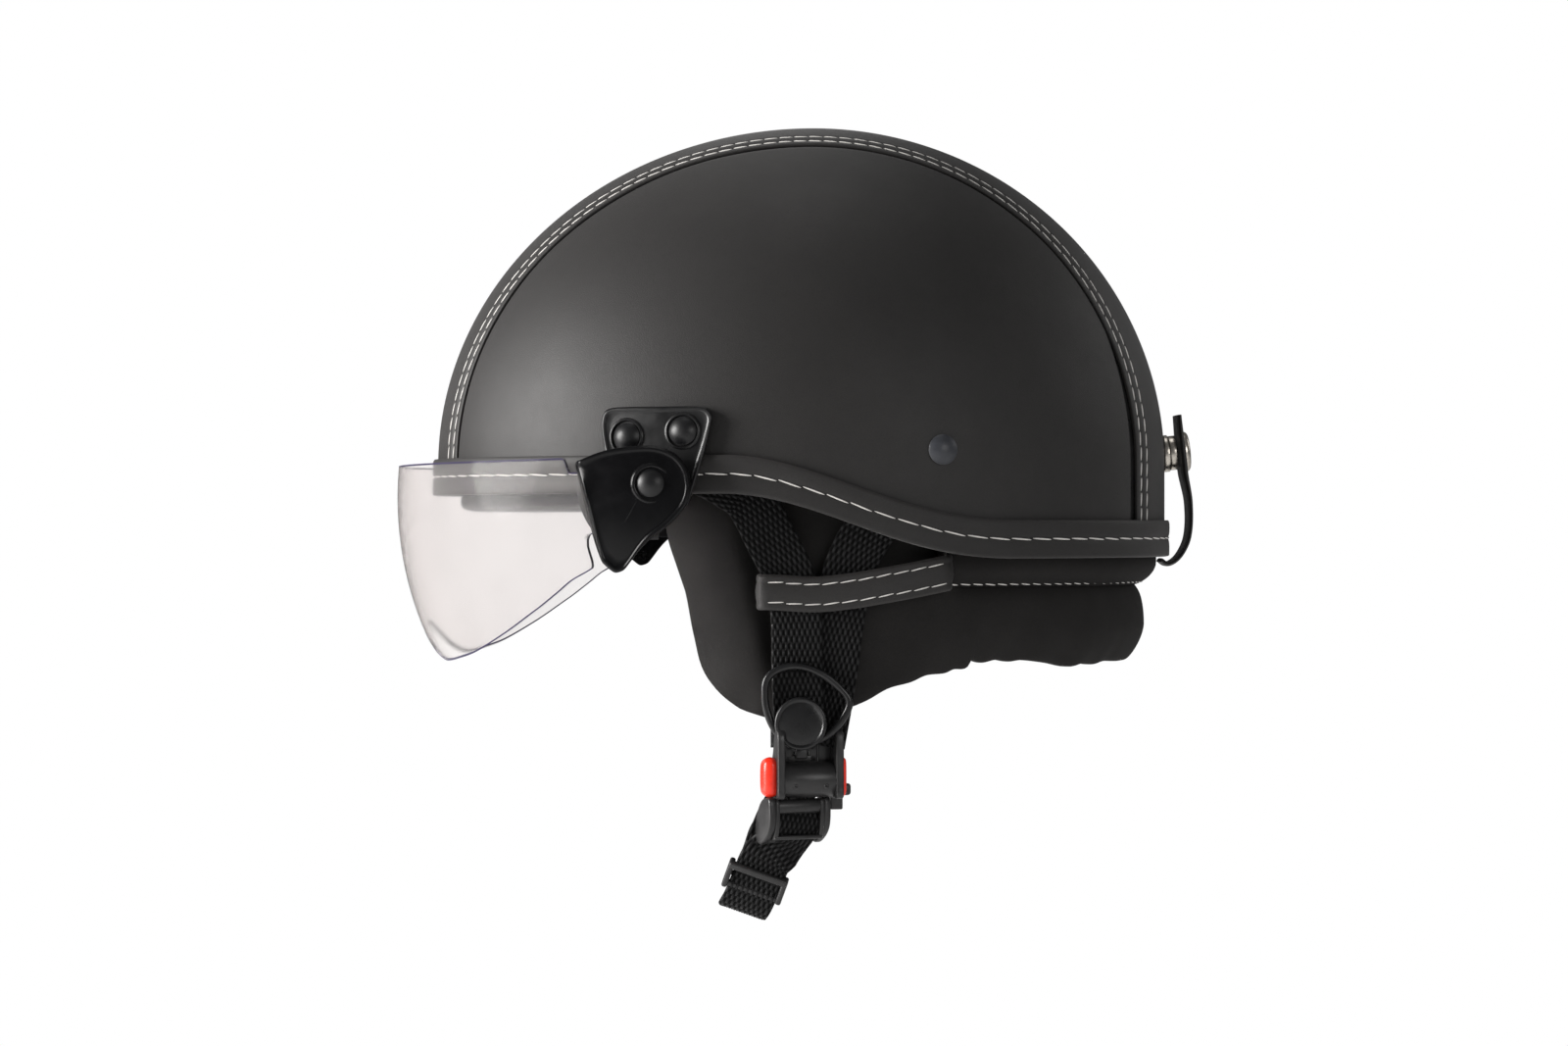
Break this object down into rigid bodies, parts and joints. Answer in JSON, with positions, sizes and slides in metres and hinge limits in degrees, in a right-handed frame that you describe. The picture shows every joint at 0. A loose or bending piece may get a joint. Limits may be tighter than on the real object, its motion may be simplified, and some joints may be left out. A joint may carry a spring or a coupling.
{
  "type": "open face motorcycle helmet",
  "caption": "Leather-covered open face helmet with a hinged clear visor, padded ear flaps and neck roll, a chin strap with a push-button buckle, and a rear goggle-strap tab.",
  "frame": {"origin": "middle of the head opening at the shell's equator, on the plane of symmetry", "axes": "-Y towards the face, +X to the wearer's left, +Z towards the crown"},
  "size_m": [0.2558, 0.324, 0.3142],
  "materials": {
    "black_leather": "matt grain",
    "shell_plastic": "moulded",
    "liner_foam": "expanded foam, fine bead",
    "lining_fabric": "brushed",
    "webbing": "woven",
    "black_plastic": "satin",
    "red_plastic": "gloss",
    "clear_visor": "polished",
    "blackened_steel": "black oxide",
    "bright_steel": "nickel"
  },
  "bodies": {
    "helmet": {"crown_strip": "black_leather", "side_cover_left": "black_leather", "side_cover_right": "black_leather", "rim_trim": "black_leather", "ear_flap_left": "black_leather", "ear_flap_right": "black_leather", "neck_curtain": "black_leather", "neck_roll": "black_leather", "strap_keeper_left": "black_leather", "strap_keeper_right": "black_leather", "outer_shell": "shell_plastic", "foam_liner": "liner_foam", "crown_pad": "lining_fabric", "headband": "lining_fabric", "brow_pad": "lining_fabric", "front_strap_left": "webbing", "front_strap_right": "webbing", "rear_strap_left": "webbing", "rear_strap_right": "webbing", "visor_bracket_left": "black_plastic", "visor_bracket_right": "black_plastic", "yoke_left": "black_plastic", "yoke_right": "black_plastic", "yoke_badge_left": "black_plastic", "yoke_badge_right": "black_plastic", "buckle_housing": "black_plastic", "chin_hanger": "black_plastic", "bracket_rivets": "blackened_steel", "strap_anchor_rivets": "blackened_steel", "pivot_rivets": "blackened_steel", "rivet_washers": "bright_steel", "hinge_washers": "bright_steel", "snap_stud": "bright_steel"},
    "visor": {"visor_shield": "clear_visor", "visor_backing_left": "black_plastic", "visor_backing_right": "black_plastic", "visor_cover_left": "black_plastic", "visor_cover_right": "black_plastic"},
    "button_front": {"release_button_front": "red_plastic"},
    "button_rear": {"release_button_rear": "red_plastic"},
    "chin_strap_half": {"chin_strap": "webbing", "chin_strap_tail": "webbing", "buckle_tongue": "black_plastic"},
    "slider": {"strap_slider": "black_plastic"},
    "rear_tab": {"goggle_tab": "black_leather", "snap_socket": "bright_steel", "snap_cap": "bright_steel"}
  },
  "joints": [
    {"name": "visor_pivot", "type": "hinge", "parent": "helmet", "child": "visor", "pos_m": [0, -0.0615, -0.0085], "axis": [-1, 0, 0], "range_deg": [0, 38]},
    {"name": "button_front_press", "type": "slide", "parent": "helmet", "child": "button_front", "axis": [-0.2419, 0.9703, 0], "range_m": [0, 0.0015], "stiffness_N_per_m": 300, "springref_m": -0.001},
    {"name": "button_rear_press", "type": "slide", "parent": "helmet", "child": "button_rear", "axis": [0.2419, -0.9703, 0], "range_m": [0, 0.0015], "stiffness_N_per_m": 300, "springref_m": -0.001},
    {"name": "strap_swing", "type": "hinge", "parent": "helmet", "child": "chin_strap_half", "pos_m": [-0.1035, -0.0045, -0.118], "axis": [0, 1, 0], "range_deg": [0, 60]},
    {"name": "slider_slide", "type": "slide", "parent": "chin_strap_half", "child": "slider", "axis": [0.3074, 0.5476, 0.7782], "range_m": [0, 0.003]},
    {"name": "tab_hinge", "type": "hinge", "parent": "helmet", "child": "rear_tab", "pos_m": [0, 0.1413, -0.0383], "axis": [-1, 0, 0], "range_deg": [0, 80]}
  ]
}
